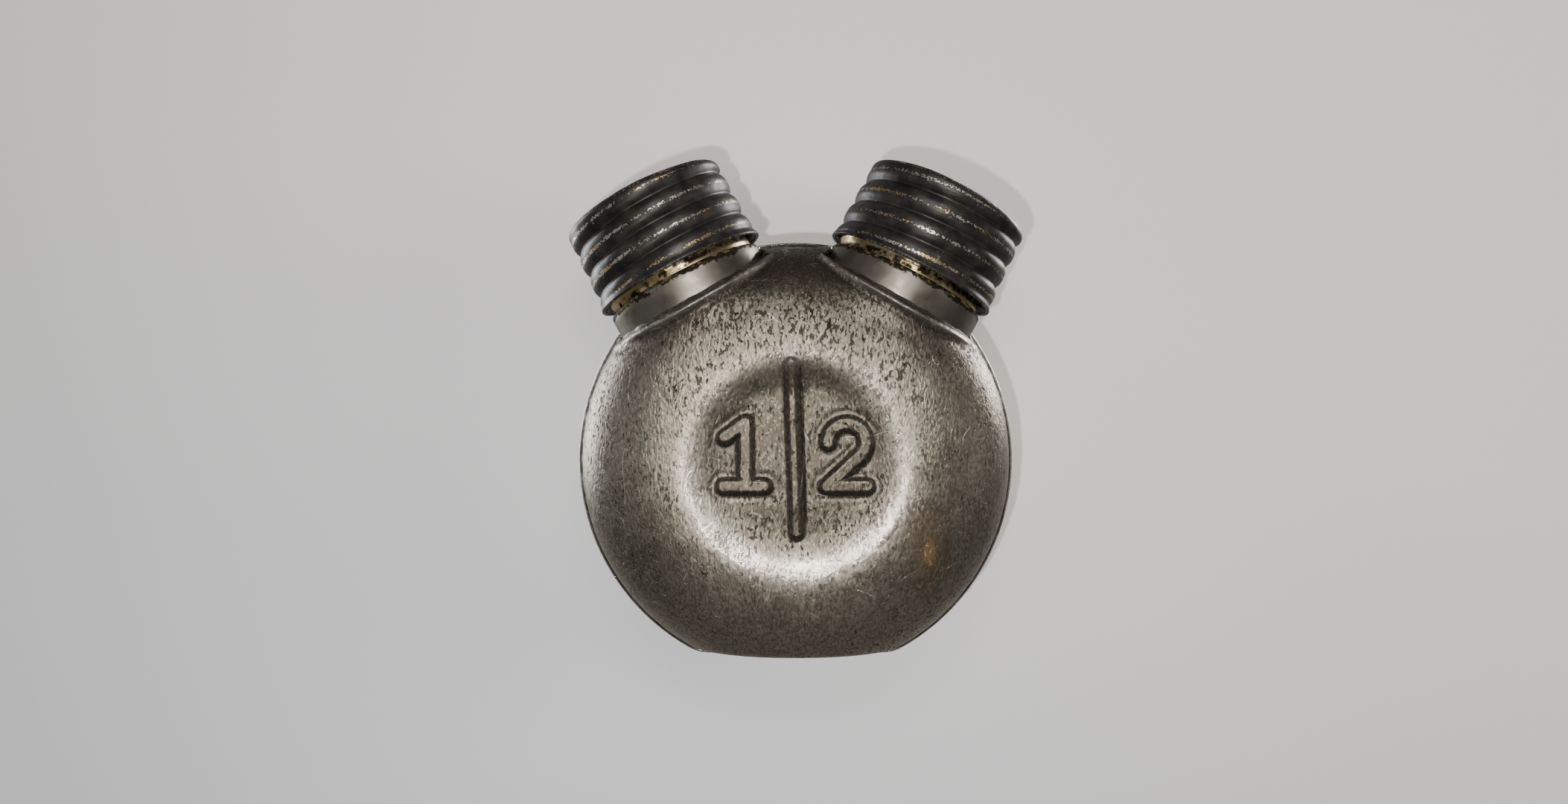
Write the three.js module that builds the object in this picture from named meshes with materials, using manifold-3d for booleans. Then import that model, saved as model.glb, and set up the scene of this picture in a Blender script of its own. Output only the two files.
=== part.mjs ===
import * as THREE from 'three';
import { mergeVertices } from 'three/addons/utils/BufferGeometryUtils.js';
import Module from 'manifold-3d';

// Twin-spout round oil bottle, standing upright on the flat of its rear shell.
// Millimetres. +Z up, -Y is the marked front face, +X to the right. Ground at z = 0.

const wasm = await Module();
wasm.setup();

// ---- body -----------------------------------------------------------------
const ZC = 26.8;            // height of the disc centre above the base flat
const SHEET = 0.6;          // sheet thickness
const R_REAR = 30.0;        // outside radius of the rear cup
const R_FRONT = 29.32;      // outside radius of the front cup, which sits inside the rear one
const HALF = 12.5;          // half thickness at the ridge
const R_RIDGE = 15.0;       // radius of the ridge around the dish
const R_PANEL = 9.0;        // radius of the flat middle of the dish
const DISH = 1.2;           // depth of the middle below the ridge
const SHOULDER_POW = 2.15;   // fullness of the shoulder
const Y_SKIRT = 1.2;        // how far each straight skirt starts from the middle plane
const Y_RIM = -1.5;         // where the rim of the rear cup ends
const Y_LAP = 1.4;          // where the skirt of the front cup ends, inside the rear one
const FLAT_REAR = 0.0;      // level of the base flat on the rear cup
const FLAT_FRONT = 0.95;    // level of the base flat on the front cup
const FLAT_SOFT = 0.7;      // rounding of the base flat's edges
const SEG = 44;

// ---- spouts ---------------------------------------------------------------
const TILT = THREE.MathUtils.degToRad(27.5);
const MOUTH_X = 15.9;       // cap mouth centre, sideways from the middle
const MOUTH_Z = ZC + 25.6;  // cap mouth centre, height
const PITCH = 3.2;          // single start, right hand
const SEG_N = 28;

// half sleeve pressed out of each shell to hold the collar, ending on a slanted plane
const BOSS = { r: 12.0, from: -15, plane: 25.2, lean: THREE.MathUtils.degToRad(33) };
const COLLAR = { r: 11.4, wall: 0.55, from: -7.2, to: -0.9, lip: 10.62 };
const NECK = { root: 10.4, crest: 10.95, bore: 9.85, from: -3.4, threadFrom: -0.75, to: 9.8 };
const CAP = { r: 12.0, taper: 0.035, groove: 0.55, wall: 0.5, lip: 0.2, top: 12.0, roof: 0.5 };
const GASKET = { r: 10.25, from: 9.92, to: 11.4 };

// ---- helpers --------------------------------------------------------------
const key = (p) => p.map((v) => Math.round(v * 1e5)).join(',');

// welded triangles -> solid, turned right side out if need be
function closed(verts, idx) {
  const make = () => new wasm.Manifold(new wasm.Mesh({
    numProp: 3, vertProperties: new Float32Array(verts), triVerts: new Uint32Array(idx),
  }));
  let m = make();
  if (m.volume() < 0) {
    for (let i = 0; i < idx.length; i += 3) [idx[i + 1], idx[i + 2]] = [idx[i + 2], idx[i + 1]];
    m = make();
  }
  return m;
}

// triangle soup -> solid
function solid(tris) {
  const ids = new Map();
  const verts = [];
  const idx = [];
  const id = (p) => {
    const k = key(p);
    if (!ids.has(k)) { ids.set(k, verts.length / 3); verts.push(p[0], p[1], p[2]); }
    return ids.get(k);
  };
  for (const [a, b, c] of tris) {
    const i = id(a), j = id(b), k = id(c);
    if (i !== j && j !== k && k !== i) idx.push(i, j, k);
  }
  return closed(verts, idx);
}

function solidOf(geometry) {
  const g = geometry.clone();
  g.deleteAttribute('normal');
  g.deleteAttribute('uv');
  const m = mergeVertices(g, 1e-4);
  return closed(m.attributes.position.array, Array.from(m.index.array));
}

function geometryOf(man) {
  const mesh = man.getMesh();
  const n = mesh.numProp;
  const pos = new Float32Array((mesh.vertProperties.length / n) * 3);
  for (let i = 0; i < pos.length / 3; i++) {
    for (let k = 0; k < 3; k++) pos[i * 3 + k] = mesh.vertProperties[i * n + k];
  }
  const g = new THREE.BufferGeometry();
  g.setAttribute('position', new THREE.BufferAttribute(pos, 3));
  g.setIndex(new THREE.BufferAttribute(new Uint32Array(mesh.triVerts), 1));
  const flat = g.toNonIndexed();
  flat.computeVertexNormals();
  return flat;
}

// keeps the biggest separate body of a cut
function biggest(man) {
  const parts = man.decompose();
  parts.sort((a, b) => b.volume() - a.volume());
  return parts[0];
}

function paint(name, color, roughness, metalness) {
  return new THREE.MeshStandardMaterial({ name, color, roughness, metalness });
}

// level below which the round wall is pressed flat
function pressFlat(z, level) {
  if (level === null) return z;
  const d = z - level;
  if (d > FLAT_SOFT) return z;
  if (d < -FLAT_SOFT) return level;
  return level + (d + FLAT_SOFT) ** 2 / (4 * FLAT_SOFT);
}

// closed profile [r, y, level] that starts and ends on the axis, turned about the Y axis
function turned(profile, seg = SEG) {
  const at = (i, j) => {
    const [r, y, level] = profile[j];
    const a = (2 * Math.PI * (i % seg)) / seg;
    return [r * Math.sin(a), y, pressFlat(ZC + r * Math.cos(a), level)];
  };
  const tris = [];
  for (let i = 0; i < seg; i++) {
    for (let j = 0; j + 1 < profile.length; j++) {
      const a = at(i, j), b = at(i + 1, j), c = at(i + 1, j + 1), d = at(i, j + 1);
      tris.push([a, c, b], [a, d, c]);
    }
  }
  return solid(tris);
}

// outside of one half of the body: [r, y] from the axis to the skirt, y counted away from the middle
function halfProfile(R) {
  const pts = [[0, HALF - DISH], [R_PANEL, HALF - DISH]];
  for (const f of [0.25, 0.5, 0.75, 1]) {
    const r = R_PANEL + f * (R_RIDGE - R_PANEL);
    pts.push([r, HALF - DISH * 0.5 * (1 + Math.cos(Math.PI * f))]);
  }
  for (const deg of [17, 32, 46, 58, 69, 79, 90]) {
    const t = THREE.MathUtils.degToRad(deg);
    const u = Math.sin(t) ** (2 / SHOULDER_POW);
    const v = Math.cos(t) <= 1e-9 ? 0 : Math.cos(t) ** (2 / SHOULDER_POW);
    pts.push([R_RIDGE + (R - R_RIDGE) * u, Y_SKIRT + (HALF - Y_SKIRT) * v]);
  }
  return pts;
}

// the same profile moved inwards by d
function inset(pts, d) {
  return pts.map((p, i) => {
    const a = pts[Math.max(0, i - 1)], b = pts[Math.min(pts.length - 1, i + 1)];
    let tx = b[0] - a[0], ty = b[1] - a[1];
    const l = Math.hypot(tx, ty);
    tx /= l; ty /= l;
    // outward normal of a profile that runs outwards and down
    const nx = -ty, ny = tx;
    const out = i === pts.length - 1 ? [1, 0] : i === 0 ? [0, 1] : [nx, ny];
    return [Math.max(0, p[0] - out[0] * d), p[1] - out[1] * d];
  });
}

// filled half: side -1 is the front, +1 the rear; skirt runs on to y = end (counted towards the other half)
function halfSolid(R, side, d, level, end) {
  const out = inset(halfProfile(R), d);
  const prof = out.map(([r, y]) => [r, side * y, level]);
  const rEnd = R - d;
  prof.push([rEnd, -side * end, level]);
  prof.push([0, -side * end, level]);
  return turned(side < 0 ? prof : prof.slice().reverse());
}

function box(x0, y0, z0, x1, y1, z1) {
  const g = new THREE.BoxGeometry(x1 - x0, y1 - y0, z1 - z0);
  g.translate((x0 + x1) / 2, (y0 + y1) / 2, (z0 + z1) / 2);
  return solidOf(g);
}

// spout frame: side -1 is the left spout, +1 the right one; local Z runs out along the neck
function spoutMatrix(side) {
  const axis = new THREE.Vector3(side * Math.sin(TILT), 0, Math.cos(TILT));
  const x = new THREE.Vector3(Math.cos(TILT), 0, -side * Math.sin(TILT));
  const y = new THREE.Vector3().crossVectors(axis, x);
  const m = new THREE.Matrix4().makeBasis(x, y, axis);
  m.setPosition(side * MOUTH_X, 0, MOUTH_Z);
  return m;
}

// turned about the spout axis: profile [r, s], starts and ends on the axis or closes on itself
function spun(profile, side, seg = SEG_N, turn = 0) {
  const pts = profile.map(([r, s]) => new THREE.Vector2(r, s));
  const g = new THREE.LatheGeometry(pts, seg);
  g.rotateX(Math.PI / 2);
  g.rotateZ(turn);
  g.applyMatrix4(spoutMatrix(side));
  return solidOf(g);
}

// filled threaded bar: rows follow the helix so that a narrow groove stays crisp.
// radius(s, phase) with phase 0..1 across one pitch, phase 0 on the groove
function threadedBar(side, s0, s1, phases, radius, start, seg = SEG_N) {
  const K = phases.length;
  const turns = Math.ceil((s1 - s0) / PITCH) + 2;
  const jMin = -2 * K, jMax = turns * K;
  const m = spoutMatrix(side);
  const v = new THREE.Vector3();
  const at = (i, j) => {
    const jj = j + (i >= seg ? K : 0);
    const ii = i % seg;
    const whole = Math.floor(jj / K);
    const ph = phases[((jj % K) + K) % K];
    const a = (2 * Math.PI * ii) / seg;
    let s = s0 + start + (whole + ph + ii / seg) * PITCH;
    s = Math.min(s1, Math.max(s0, s));
    const real = ((s - s0 - start) / PITCH - ii / seg);
    const frac = real - Math.floor(real);
    const r = radius(s, frac);
    v.set(r * Math.cos(a), r * Math.sin(a), s).applyMatrix4(m);
    return [v.x, v.y, v.z];
  };
  const centre = (s) => { v.set(0, 0, s).applyMatrix4(m); return [v.x, v.y, v.z]; };
  const lo = centre(s0), hi = centre(s1);
  const tris = [];
  for (let i = 0; i < seg; i++) {
    for (let j = jMin; j < jMax; j++) {
      const a = at(i, j), b = at(i + 1, j), c = at(i + 1, j + 1), d = at(i, j + 1);
      tris.push([a, b, c], [a, c, d]);
    }
    const far = 50 * K;
    tris.push([lo, at(i + 1, -far), at(i, -far)]);
    tris.push([hi, at(i, far), at(i + 1, far)]);
  }
  return solid(tris);
}

const smooth = (a, b, x) => {
  const t = Math.min(1, Math.max(0, (x - a) / (b - a)));
  return t * t * (3 - 2 * t);
};

// ---- materials ------------------------------------------------------------
const TIN = paint('tinned_sheet', 0x6f6a62, 0.42, 0.85);
const TIN_BRIGHT = paint('bright_tin', 0x9a958a, 0.3, 0.9);
const BRASS = paint('brass_neck', 0xa98a4a, 0.35, 0.9);
const BLACK = paint('blackened_cap', 0x26231f, 0.45, 0.55);
const SOLDER = paint('solder', 0x8b877d, 0.4, 0.85);
const LEATHER = paint('gasket_leather', 0x5a3d24, 0.8, 0.0);

const root = new THREE.Group();
root.name = 'twin_spout_oil_bottle';
function add(name, man, material) {
  const mesh = new THREE.Mesh(geometryOf(man), material);
  mesh.name = name;
  root.add(mesh);
  return mesh;
}

// ---- marks and ribs pressed into the faces ---------------------------------
function prism(points, y0, y1, cx, cz, turn = 0) {
  const shape = new THREE.Shape(points.map(([x, z]) => new THREE.Vector2(x, z)));
  const g = new THREE.ExtrudeGeometry(shape, { depth: y1 - y0, bevelEnabled: false, curveSegments: 6 });
  g.rotateZ(turn);
  g.rotateX(Math.PI / 2);
  g.translate(cx, y1, cz);
  return solidOf(g);
}
const RIB_TOP = HALF - 0.55;
function rib(side) {
  const w = 1.0, h = 11.7, pts = [];
  for (let i = 0; i <= 4; i++) { const a = (Math.PI * i) / 4; pts.push([w * Math.cos(a), h - w + w * Math.sin(a)]); }
  for (let i = 0; i <= 4; i++) { const a = Math.PI + (Math.PI * i) / 4; pts.push([w * Math.cos(a), -h + w + w * Math.sin(a)]); }
  const y0 = HALF - DISH - 0.35, y1 = RIB_TOP;
  return side < 0
    ? prism(pts, -y1, -y0, -0.35, ZC + 1.6, THREE.MathUtils.degToRad(1.9))
    : prism(pts, y0, y1, 0, ZC, 0);
}
const MARK_TOP = HALF - DISH + 0.5;
const MARK_ROOT = HALF - DISH - 0.3;
// numeral one: upright with a flag
const ONE = [
  [-3.4, -5.0], [3.6, -5.0], [3.6, -3.1], [1.3, -3.1], [1.3, 5.0], [-0.3, 5.0], [-3.0, 3.1], [-2.1, 1.6], [-0.7, 2.5],
  [-0.7, -3.1], [-3.4, -3.1],
];
// numeral two: arc, slope and foot
function two() {
  const out = [], inn = [];
  for (let i = 0; i <= 8; i++) {
    const a = Math.PI - (i / 8) * (Math.PI * 1.22);
    out.push([3.4 * Math.cos(a), 1.6 + 3.4 * Math.sin(a)]);
    inn.push([1.45 * Math.cos(a), 1.6 + 1.45 * Math.sin(a)]);
  }
  return [...out, [-0.35, -3.05], [3.5, -3.05], [3.5, -5.0], [-3.5, -5.0], [-3.5, -3.5], ...inn.reverse()];
}

// ---- shells ---------------------------------------------------------------
function spoutHole(side) {
  return spun([[0, COLLAR.from - 0.25], [COLLAR.r + 0.06, COLLAR.from - 0.25], [COLLAR.r + 0.06, 14], [0, 14]], side, 32);
}
const holes = [spoutHole(-1), spoutHole(1)];

// sleeves around the collars, on the front (face -1) or the rear (face 1) half
function sleeves(face, extra = 0) {
  const y0 = face < 0 ? -20 : 2, y1 = face < 0 ? -2 : 20;
  let all = null;
  for (const side of [-1, 1]) {
    const bar = spun([[0, BOSS.from], [BOSS.r + extra, BOSS.from], [BOSS.r + extra, 3], [0, 3]], side, 44);
    const g = new THREE.BoxGeometry(80, y1 - y0, 40);
    g.translate(0, (y0 + y1) / 2, BOSS.plane + extra - 20);
    g.rotateY(side * BOSS.lean);
    g.translate(0, 0, ZC);
    const one = bar.intersect(solidOf(g));
    all = all ? all.add(one) : one;
  }
  return all;
}

let front = halfSolid(R_FRONT, -1, 0, FLAT_FRONT, Y_LAP)
  .add(sleeves(-1))
  .add(rib(-1))
  .add(prism(ONE, -MARK_TOP, -MARK_ROOT, -6.9, ZC + 1.1))
  .add(prism(two(), -MARK_TOP, -MARK_ROOT, 6.5, ZC + 1.1))
  .subtract(halfSolid(R_FRONT, -1, SHEET, FLAT_FRONT + SHEET, Y_LAP + 0.5));
let rear = halfSolid(R_REAR, 1, 0, FLAT_REAR, -Y_RIM)
  .add(sleeves(1))
  .add(rib(1))
  .subtract(halfSolid(R_REAR, 1, SHEET, FLAT_REAR + SHEET, -Y_RIM + 0.5));
for (const h of holes) { front = front.subtract(h); rear = rear.subtract(h); }
add('front_shell', biggest(front), TIN);
add('rear_shell', biggest(rear), TIN);

// ---- divider between the two compartments -----------------------------------
const GAP = 0.08;
const hollow = halfSolid(R_FRONT, -1, SHEET + GAP, FLAT_FRONT + SHEET + GAP, 0.5)
  .add(halfSolid(R_REAR - 0.68, 1, SHEET + GAP, FLAT_FRONT + SHEET + GAP, 0.5));
add('divider_wall', biggest(hollow.intersect(box(-0.3, -20, 0, 0.3, 20, 60))), TIN);

// ---- solder -----------------------------------------------------------------
// bead where the rim of the rear cup laps over the front one
const beadSolid = turned([
  [0, Y_RIM - 0.62, FLAT_REAR + 0.08], [R_FRONT + 0.08, Y_RIM - 0.62, FLAT_REAR + 0.08],
  [R_REAR - 0.28, Y_RIM - 0.42, FLAT_REAR + 0.08], [R_REAR - 0.1, Y_RIM - 0.03, FLAT_REAR + 0.08],
  [0, Y_RIM - 0.03, FLAT_REAR + 0.08],
]);
let seam = beadSolid.subtract(halfSolid(R_FRONT + 0.03, -1, 0, FLAT_FRONT - 0.03, Y_LAP));
const keepOff = [-1, 1].map((s) => spun([[0, -9], [COLLAR.r + 0.75, -9], [COLLAR.r + 0.75, 4], [0, 4]], s, 32));
for (const k of keepOff) seam = seam.subtract(k);
const seamParts = seam.decompose().sort((a, b) => b.volume() - a.volume());
add('seam_solder', seamParts[0], SOLDER);
add('seam_solder_top', seamParts[1], SOLDER);

// fillet around the foot of each collar
function collarSolder(side) {
  const skin = 0.45;
  const grown = halfSolid(R_REAR + skin, -1, 0, null, 0.05)
    .add(halfSolid(R_REAR + skin, 1, 0, null, 0.0))
    .add(sleeves(-1, skin)).add(sleeves(1, skin));
  const fat = grown.scale([1, (HALF + skin) / HALF, 1]);
  const ring = spun([[COLLAR.r + 0.02, -6.9], [COLLAR.r + 0.62, -6.9], [COLLAR.r + 0.62, 0], [COLLAR.r + 0.02, 0], [COLLAR.r + 0.02, -6.9]], side, 32);
  const bodySolid = halfSolid(R_FRONT + 0.03, -1, 0, null, Y_LAP)
    .add(halfSolid(R_REAR + 0.03, 1, 0, null, -Y_RIM))
    .add(sleeves(-1, 0.03)).add(sleeves(1, 0.03));
  return biggest(ring.intersect(fat).subtract(bodySolid.scale([1, 1.002, 1])));
}

// ---- spouts -----------------------------------------------------------------
for (const [label, side] of [['left', -1], ['right', 1]]) {
  // smooth collar: tube with its top edge turned in to the neck
  const c = COLLAR, ri = c.r - c.wall;
  add(`${label}_collar`, spun([
    [ri, c.from], [c.r, c.from], [c.r, c.to - 0.7], [c.r - 0.22, c.to - 0.2],
    [c.r - 0.6, c.to], [c.lip, c.to], [c.lip, c.to - 0.55], [ri, c.to - 1.0], [ri, c.from],
  ], side, 32), TIN_BRIGHT);

  add(`${label}_collar_solder`, collarSolder(side), SOLDER);

  // threaded neck: bar with a rolled right-hand thread, bored through, foot below the collar lip
  const n = NECK;
  const rNeck = (s, ph) => {
    const amp = smooth(n.threadFrom, n.threadFrom + 0.9, s) * (1 - smooth(n.to - 0.9, n.to - 0.1, s));
    return n.root + (n.crest - n.root) * amp * 0.5 * (1 - Math.cos(2 * Math.PI * ph));
  };
  const bar = threadedBar(side, n.from, n.to, [0, 0.25, 0.5, 0.75], rNeck, THREAD_START(n.from));
  const bore = spun([[0, n.from - 1], [n.bore, n.from - 1], [n.bore, n.to + 1], [0, n.to + 1]], side);
  add(`${label}_threaded_neck`, biggest(bar.subtract(bore)), BRASS);

  // cap: thin wall with the thread rolled into it, closed top, slightly flared mouth
  const k = CAP;
  const vee = (ph) => { const d = Math.min(ph, 1 - ph); return Math.max(0, 1 - d / 0.19); };
  const wallR = (s, ph, off) => {
    const amp = smooth(0.5, 1.4, s) * (1 - smooth(10.4, 11.0, s));
    const flare = k.lip * (1 - smooth(0.0, 0.9, s));
    return k.r - k.taper * s + flare - k.groove * amp * vee(ph) - off;
  };
  const outR = (s, ph) => {
    const round = s > 11 ? 1.0 - Math.sqrt(Math.max(0, 1 - (s - 11) ** 2)) : 0;
    return wallR(s, ph, 0) - round;
  };
  const inR = (s, ph) => wallR(s, ph, k.wall);
  const phases = [0, 0.19, 0.5, 0.81];
  const outer = threadedBar(side, 0, k.top, phases, outR, THREAD_START(0));
  const inner = threadedBar(side, -1, k.top - k.roof, phases, inR, THREAD_START(-1));
  add(`${label}_cap`, biggest(outer.subtract(inner)), BLACK);

  add(`${label}_cap_gasket`, spun([
    [0, GASKET.from], [GASKET.r, GASKET.from], [GASKET.r, GASKET.to], [0, GASKET.to],
  ], side), LEATHER);
}

// start of the helix measured from the end of a bar, so that every thread shares one helix
function THREAD_START(s0) {
  const g = 0.55 - s0;
  return g - Math.floor(g / PITCH) * PITCH - PITCH;
}

export default root;
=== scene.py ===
import math

import bpy
import numpy as np
from mathutils import Matrix, Vector


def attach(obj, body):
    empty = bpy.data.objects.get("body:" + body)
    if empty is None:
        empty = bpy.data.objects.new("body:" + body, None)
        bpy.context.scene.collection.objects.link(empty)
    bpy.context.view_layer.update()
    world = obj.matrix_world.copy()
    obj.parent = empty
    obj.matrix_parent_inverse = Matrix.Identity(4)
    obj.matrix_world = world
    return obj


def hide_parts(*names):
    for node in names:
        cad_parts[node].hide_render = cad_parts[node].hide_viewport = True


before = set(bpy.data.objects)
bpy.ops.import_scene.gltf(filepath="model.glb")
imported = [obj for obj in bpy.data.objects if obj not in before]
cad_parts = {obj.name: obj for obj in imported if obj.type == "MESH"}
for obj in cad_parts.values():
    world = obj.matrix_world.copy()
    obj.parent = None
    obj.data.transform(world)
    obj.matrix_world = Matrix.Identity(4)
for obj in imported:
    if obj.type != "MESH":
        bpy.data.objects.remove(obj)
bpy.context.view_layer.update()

MM = 0.001

# ---------------------------------------------------------------- sizes, mm
ZC = 26.8
R_REAR = 30.0
R_FRONT = 29.32
HALF = 12.5
R_RIDGE = 15.0
R_PANEL = 9.0
DISH = 1.2
POW = 2.15
Y_SKIRT = 1.2
Y_RIM = -1.5
FLAT_REAR = 0.0
FLAT_FRONT = 0.95
FLAT_SOFT = 0.7
TILT = math.radians(27.5)
MOUTH_X = 15.9
MOUTH_Z = ZC + 25.6
PITCH = 3.2
GROOVE_AT = 0.55
COLLAR_R = 11.4
SLEEVE_R = 12.0
LEAN = math.radians(33)
RNG = np.random.default_rng(7)


# ---------------------------------------------------------------- mesh tools
class Build:
    """Vertices and faces gathered in numpy, with named point attributes."""

    def __init__(self):
        self.v = []
        self.n = 0
        self.faces = []
        self.att = {}

    def add(self, pts, **att):
        pts = np.asarray(pts, float).reshape(-1, 3)
        first = self.n
        self.v.append(pts)
        self.n += len(pts)
        for k, a in att.items():
            a = np.asarray(a, float)
            self.att.setdefault(k, []).append((first, a))
        return np.arange(first, self.n)

    def quads(self, a, b, c, d):
        for q in np.stack([a, b, c, d], 1).tolist():
            u = []
            for i in q:
                if i not in u:
                    u.append(i)
            if len(u) > 2:
                self.faces.append(u)

    def bridge(self, lo, hi, closed=True):
        if closed:
            self.quads(lo, np.roll(lo, -1), np.roll(hi, -1), hi)
        else:
            self.quads(lo[:-1], lo[1:], hi[1:], hi[:-1])

    def fan(self, ring, centre, flip=False):
        nxt = np.roll(ring, -1)
        for i, j in zip(ring.tolist(), nxt.tolist()):
            self.faces.append([j, i, centre] if flip else [i, j, centre])

    def make(self, name, material, body, stands_for=(), smooth=True, place=None):
        v = np.concatenate(self.v)
        if place is not None:
            v = place(v)
        me = bpy.data.meshes.new(name)
        me.from_pydata((v * MM).tolist(), [], self.faces)
        for k, parts in self.att.items():
            dim = parts[0][1].shape[1] if parts[0][1].ndim == 2 else 1
            full = np.zeros((len(v), dim), np.float32)
            for first, a in parts:
                a = a.reshape(-1, dim)
                full[first:first + len(a)] = a
            if dim == 3:
                att = me.attributes.new(k, "FLOAT_VECTOR", "POINT")
                att.data.foreach_set("vector", full.ravel())
            else:
                att = me.attributes.new(k, "FLOAT", "POINT")
                att.data.foreach_set("value", full.ravel())
        me.validate()
        if smooth:
            me.polygons.foreach_set("use_smooth", np.ones(len(me.polygons), bool))
        me.update()
        ob = bpy.data.objects.new(name, me)
        bpy.context.scene.collection.objects.link(ob)
        me.materials.append(material)
        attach(ob, body)
        if stands_for:
            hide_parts(*stands_for)
        return ob


def soft_noise(p, scale, seed, octaves=3):
    """Smooth noise from a few random waves, about -1 to 1, for points p in mm."""
    r = np.random.default_rng(seed)
    out = np.zeros(len(p))
    amp, total = 1.0, 0.0
    for o in range(octaves):
        for _ in range(5):
            d = r.normal(size=3)
            d /= np.linalg.norm(d)
            out += amp * np.sin(p @ (d * 2 * math.pi / scale) + r.uniform(0, 6.28)) / 2.2
        total += amp
        amp *= 0.5
        scale *= 0.47
    return out / total


def press_flat(z, level, soft=FLAT_SOFT):
    if level is None:
        return z
    d = z - level
    mid = level + (d + soft) ** 2 / (4 * soft)
    return np.where(d > soft, z, np.where(d < -soft, level, mid))


def smooth(a, b, x):
    t = np.clip((x - a) / (b - a), 0, 1)
    return t * t * (3 - 2 * t)


def half_height(r, R):
    """Outside height of one half above the middle plane at radius r."""
    r = np.asarray(r, float)
    u = np.clip((r - R_RIDGE) / (R - R_RIDGE), 0, 1)
    shoulder = Y_SKIRT + (HALF - Y_SKIRT) * (1 - u ** POW) ** (1 / POW)
    f = np.clip((r - R_PANEL) / (R_RIDGE - R_PANEL), 0, 1)
    dish = HALF - DISH * 0.5 * (1 + np.cos(math.pi * f))
    return np.where(r > R_RIDGE, shoulder, dish)


# ---------------------------------------------------------------- marks
def seg_dist(x, z, a, b):
    ax, az = a
    bx, bz = b
    dx, dz = bx - ax, bz - az
    t = np.clip(((x - ax) * dx + (z - az) * dz) / (dx * dx + dz * dz), 0, 1)
    return np.hypot(x - ax - t * dx, z - az - t * dz)


def glyph_one(x, z):
    d = seg_dist(x, z, (0.3, -4.05), (0.3, 4.15))
    d = np.minimum(d, seg_dist(x, z, (0.3, 4.15), (-2.35, 2.25)))
    return np.minimum(d, seg_dist(x, z, (-2.5, -4.05), (2.7, -4.05)))


def glyph_two(x, z):
    a = np.arctan2(z - 1.6, x)
    arc = np.abs(np.hypot(x, z - 1.6) - 2.43)
    end = math.radians(-39.6)
    inside = (a > end) | (a < math.radians(-178))
    d = np.where(inside, arc, np.hypot(x + 2.43, z - 1.6))
    e = (2.43 * math.cos(end), 1.6 + 2.43 * math.sin(end))
    d = np.minimum(d, seg_dist(x, z, e, (-2.5, -4.0)))
    return np.minimum(d, seg_dist(x, z, (-2.6, -4.05), (2.6, -4.05)))


def marks(x, z, front):
    """Raised marks on the panel: height in mm."""
    lean = math.radians(1.9) if front else 0.0
    s, c = math.sin(lean), math.cos(lean)
    if front:
        x0, z0 = x + 0.35, z - 1.9
    else:
        x0, z0 = x, z
    xr, zr = x0 * c + z0 * s, -x0 * s + z0 * c
    d = seg_dist(xr, zr, (0, -10.9), (0, 10.9))
    rib = 0.68 * (1 - smooth(0.25, 1.25, d))
    if not front:
        return rib
    crease = 0.20 * np.exp(-((xr - 1.22) / 0.15) ** 2) * smooth(10.9, 9.0, np.abs(zr))
    g1, g2 = glyph_one(x + 6.9, z - 1.1), glyph_two(x - 6.5, z - 1.1)
    one = 0.52 * (1 - smooth(0.50, 1.30, g1))
    two = 0.52 * (1 - smooth(0.50, 1.30, g2))
    moat = 0.07 * (np.exp(-((g1 - 1.6) / 0.35) ** 2) + np.exp(-((g2 - 1.6) / 0.35) ** 2))
    return rib + one + two - crease - moat


def mark_dirt_and_shade(x, z):
    """Grime and painted shade that sit in the corners of the raised marks on the front: the rib's crease, its left edge
    in the upper half, and the foot of each numeral.
    """
    s, c = math.sin(math.radians(1.9)), math.cos(math.radians(1.9))
    x0, z0 = x + 0.35, z - 1.9
    xr, zr = x0 * c + z0 * s, -x0 * s + z0 * c
    ends = 1 - smooth(10.2, 11.2, np.abs(zr))
    d = 0.95 * ends * np.exp(-((xr - 1.22) / 0.10) ** 2) + 0.40 * ends * smooth(1.0, 5.0, zr) * np.exp(-((xr + 1.25) / 0.18) ** 2)
    g = np.minimum(glyph_one(x + 6.9, z - 1.1), glyph_two(x - 6.5, z - 1.1))
    return np.clip(d + 0.34 * np.exp(-((g - 1.18) / 0.12) ** 2), 0, 1)


# ---------------------------------------------------------------- sleeves
def sleeve_coords(x, z, side):
    """d across the spout axis, t along the mouth edge, e how far inside the mouth edge; z from the disc centre."""
    ct, st = math.cos(TILT), math.sin(TILT)
    d = (x - side * MOUTH_X) * ct - side * (z - (MOUTH_Z - ZC)) * st
    q = side * x * math.sin(LEAN) + z * math.cos(LEAN)
    t = side * x * math.cos(LEAN) - z * math.sin(LEAN)
    return d, t, mouth_edge(t) - q


def mouth_edge(t):
    t = np.clip(t, -13.0, 13.0)
    return 25.05 + 0.06 * t + 0.007 * t * t


def mouth_radius(phi, side, R):
    """Distance of the mouth edge from the disc centre at angle phi from straight up."""
    psi = phi - side * LEAN
    psi = np.clip(psi, -math.radians(30), math.radians(30))
    rho = np.full(len(phi), 25.0)
    for _ in range(40):
        rho = 0.5 * rho + 0.5 * mouth_edge(rho * np.sin(psi)) / np.cos(psi)
    return np.minimum(rho, R - 0.22)


def soft_max(a, b, k):
    return np.maximum(a, b) + np.clip(k - np.abs(a - b), 0, None) ** 2 / (4 * k)


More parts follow.
